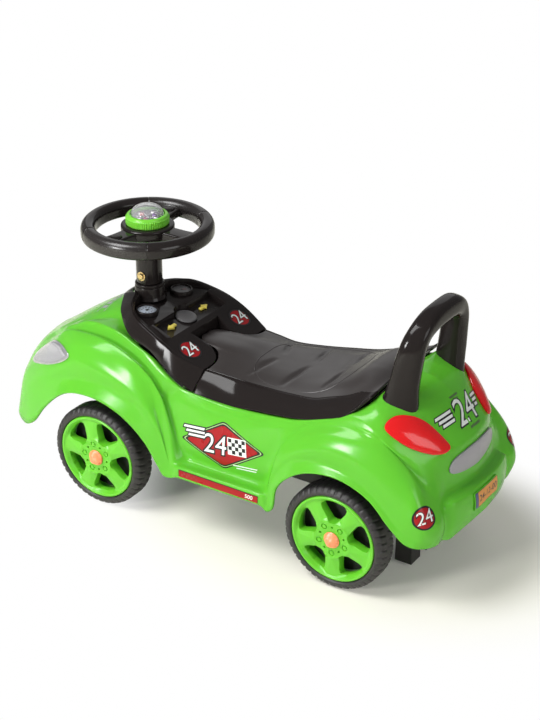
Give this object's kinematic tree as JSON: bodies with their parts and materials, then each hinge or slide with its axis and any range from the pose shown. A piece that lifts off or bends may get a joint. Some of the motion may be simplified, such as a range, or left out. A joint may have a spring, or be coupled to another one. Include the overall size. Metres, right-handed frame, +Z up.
{
  "type": "kids push car",
  "caption": "Ride-on push car for a toddler with steerable front axle, spinning wheels, lifting seat lid over a storage tub, rear push handle and steering wheel with a press dome.",
  "frame": {"origin": "centre of the bounding box at floor level", "axes": "+Z up, -Y towards the front of the car, +X towards the car's left side"},
  "size_m": [0.2428, 0.6369, 0.36],
  "materials": {
    "green_plastic": "glossy moulded",
    "black_gloss": "glossy moulded",
    "black_satin": "satin moulded",
    "white_dial": "printed",
    "grey_dial": "printed",
    "yellow_plastic": "glossy",
    "silver_trim": "bright metallised plastic",
    "clear_plastic": "clear",
    "red_plastic": "glossy",
    "grey_plastic": "satin",
    "orange_plate": "printed",
    "orange_plastic": "glossy",
    "steel": "bright zinc",
    "tyre_rubber": "matte"
  },
  "bodies": {
    "car": {"body_shell": "green_plastic", "dash_console": "black_gloss", "gauge_left": "white_dial", "gauge_right": "grey_dial", "speaker_disc": "grey_dial", "arrow_button_left": "yellow_plastic", "arrow_button_right": "yellow_plastic", "column_collar": "black_gloss", "seat_hinge_pin": "steel", "seat_hinge_leaf": "steel", "storage_tub": "black_satin", "rear_handle": "black_gloss", "headlight_housing_left": "silver_trim", "headlight_housing_right": "silver_trim", "headlight_lens_left": "clear_plastic", "headlight_lens_right": "clear_plastic", "tail_light_left": "red_plastic", "tail_light_right": "red_plastic", "rear_grey_lens": "grey_plastic", "number_plate": "orange_plate", "front_crossmember": "black_satin", "rear_axle_frame": "black_satin", "anti_tip_stand": "black_satin", "rear_axle": "steel", "rear_bush_left": "black_satin", "rear_bush_right": "black_satin"},
    "steering": {"steering_rod": "steel", "steering_wheel": "black_gloss", "sound_module": "black_satin", "knurled_ring": "green_plastic", "dome_reflector": "silver_trim", "column_bolt": "steel", "axle_carrier": "black_satin", "front_axle": "steel"},
    "seat": {"seat_lid": "black_satin"},
    "dome": {"music_dome": "clear_plastic"},
    "horn_left": {"horn_button_left": "black_gloss"},
    "horn_right": {"horn_button_right": "black_gloss"},
    "wheel_front_left": {"tyre_front_left": "tyre_rubber", "rim_front_left": "green_plastic", "hub_cap_front_left": "orange_plastic"},
    "wheel_front_right": {"tyre_front_right": "tyre_rubber", "rim_front_right": "green_plastic", "hub_cap_front_right": "orange_plastic"},
    "wheel_rear_left": {"tyre_rear_left": "tyre_rubber", "rim_rear_left": "green_plastic", "hub_cap_rear_left": "orange_plastic"},
    "wheel_rear_right": {"tyre_rear_right": "tyre_rubber", "rim_rear_right": "green_plastic", "hub_cap_rear_right": "orange_plastic"}
  },
  "joints": [
    {"name": "steering_turn", "type": "hinge", "parent": "car", "child": "steering", "pos_m": [0, -0.1513, 0.16], "axis": [0, 0, 1], "range_deg": [-25, 25]},
    {"name": "seat_lift", "type": "hinge", "parent": "car", "child": "seat", "pos_m": [0, 0.2103, 0.2436], "axis": [-1, 0, 0], "range_deg": [0, 75]},
    {"name": "dome_press", "type": "slide", "parent": "steering", "child": "dome", "axis": [0, 0, -1], "range_m": [0, 0.0025], "stiffness_N_per_m": 300},
    {"name": "horn_left_press", "type": "slide", "parent": "steering", "child": "horn_left", "axis": [0, 0, -1], "range_m": [0, 0.002], "stiffness_N_per_m": 200},
    {"name": "horn_right_press", "type": "slide", "parent": "steering", "child": "horn_right", "axis": [0, 0, -1], "range_m": [0, 0.002], "stiffness_N_per_m": 200},
    {"name": "front_left_spin", "type": "hinge", "parent": "steering", "child": "wheel_front_left", "pos_m": [0.098, -0.1558, 0.065], "axis": [1, 0, 0], "continuous": true},
    {"name": "front_right_spin", "type": "hinge", "parent": "steering", "child": "wheel_front_right", "pos_m": [-0.098, -0.1558, 0.065], "axis": [1, 0, 0], "continuous": true},
    {"name": "rear_left_spin", "type": "hinge", "parent": "car", "child": "wheel_rear_left", "pos_m": [0.098, 0.1802, 0.065], "axis": [1, 0, 0], "continuous": true},
    {"name": "rear_right_spin", "type": "hinge", "parent": "car", "child": "wheel_rear_right", "pos_m": [-0.098, 0.1802, 0.065], "axis": [1, 0, 0], "continuous": true}
  ]
}
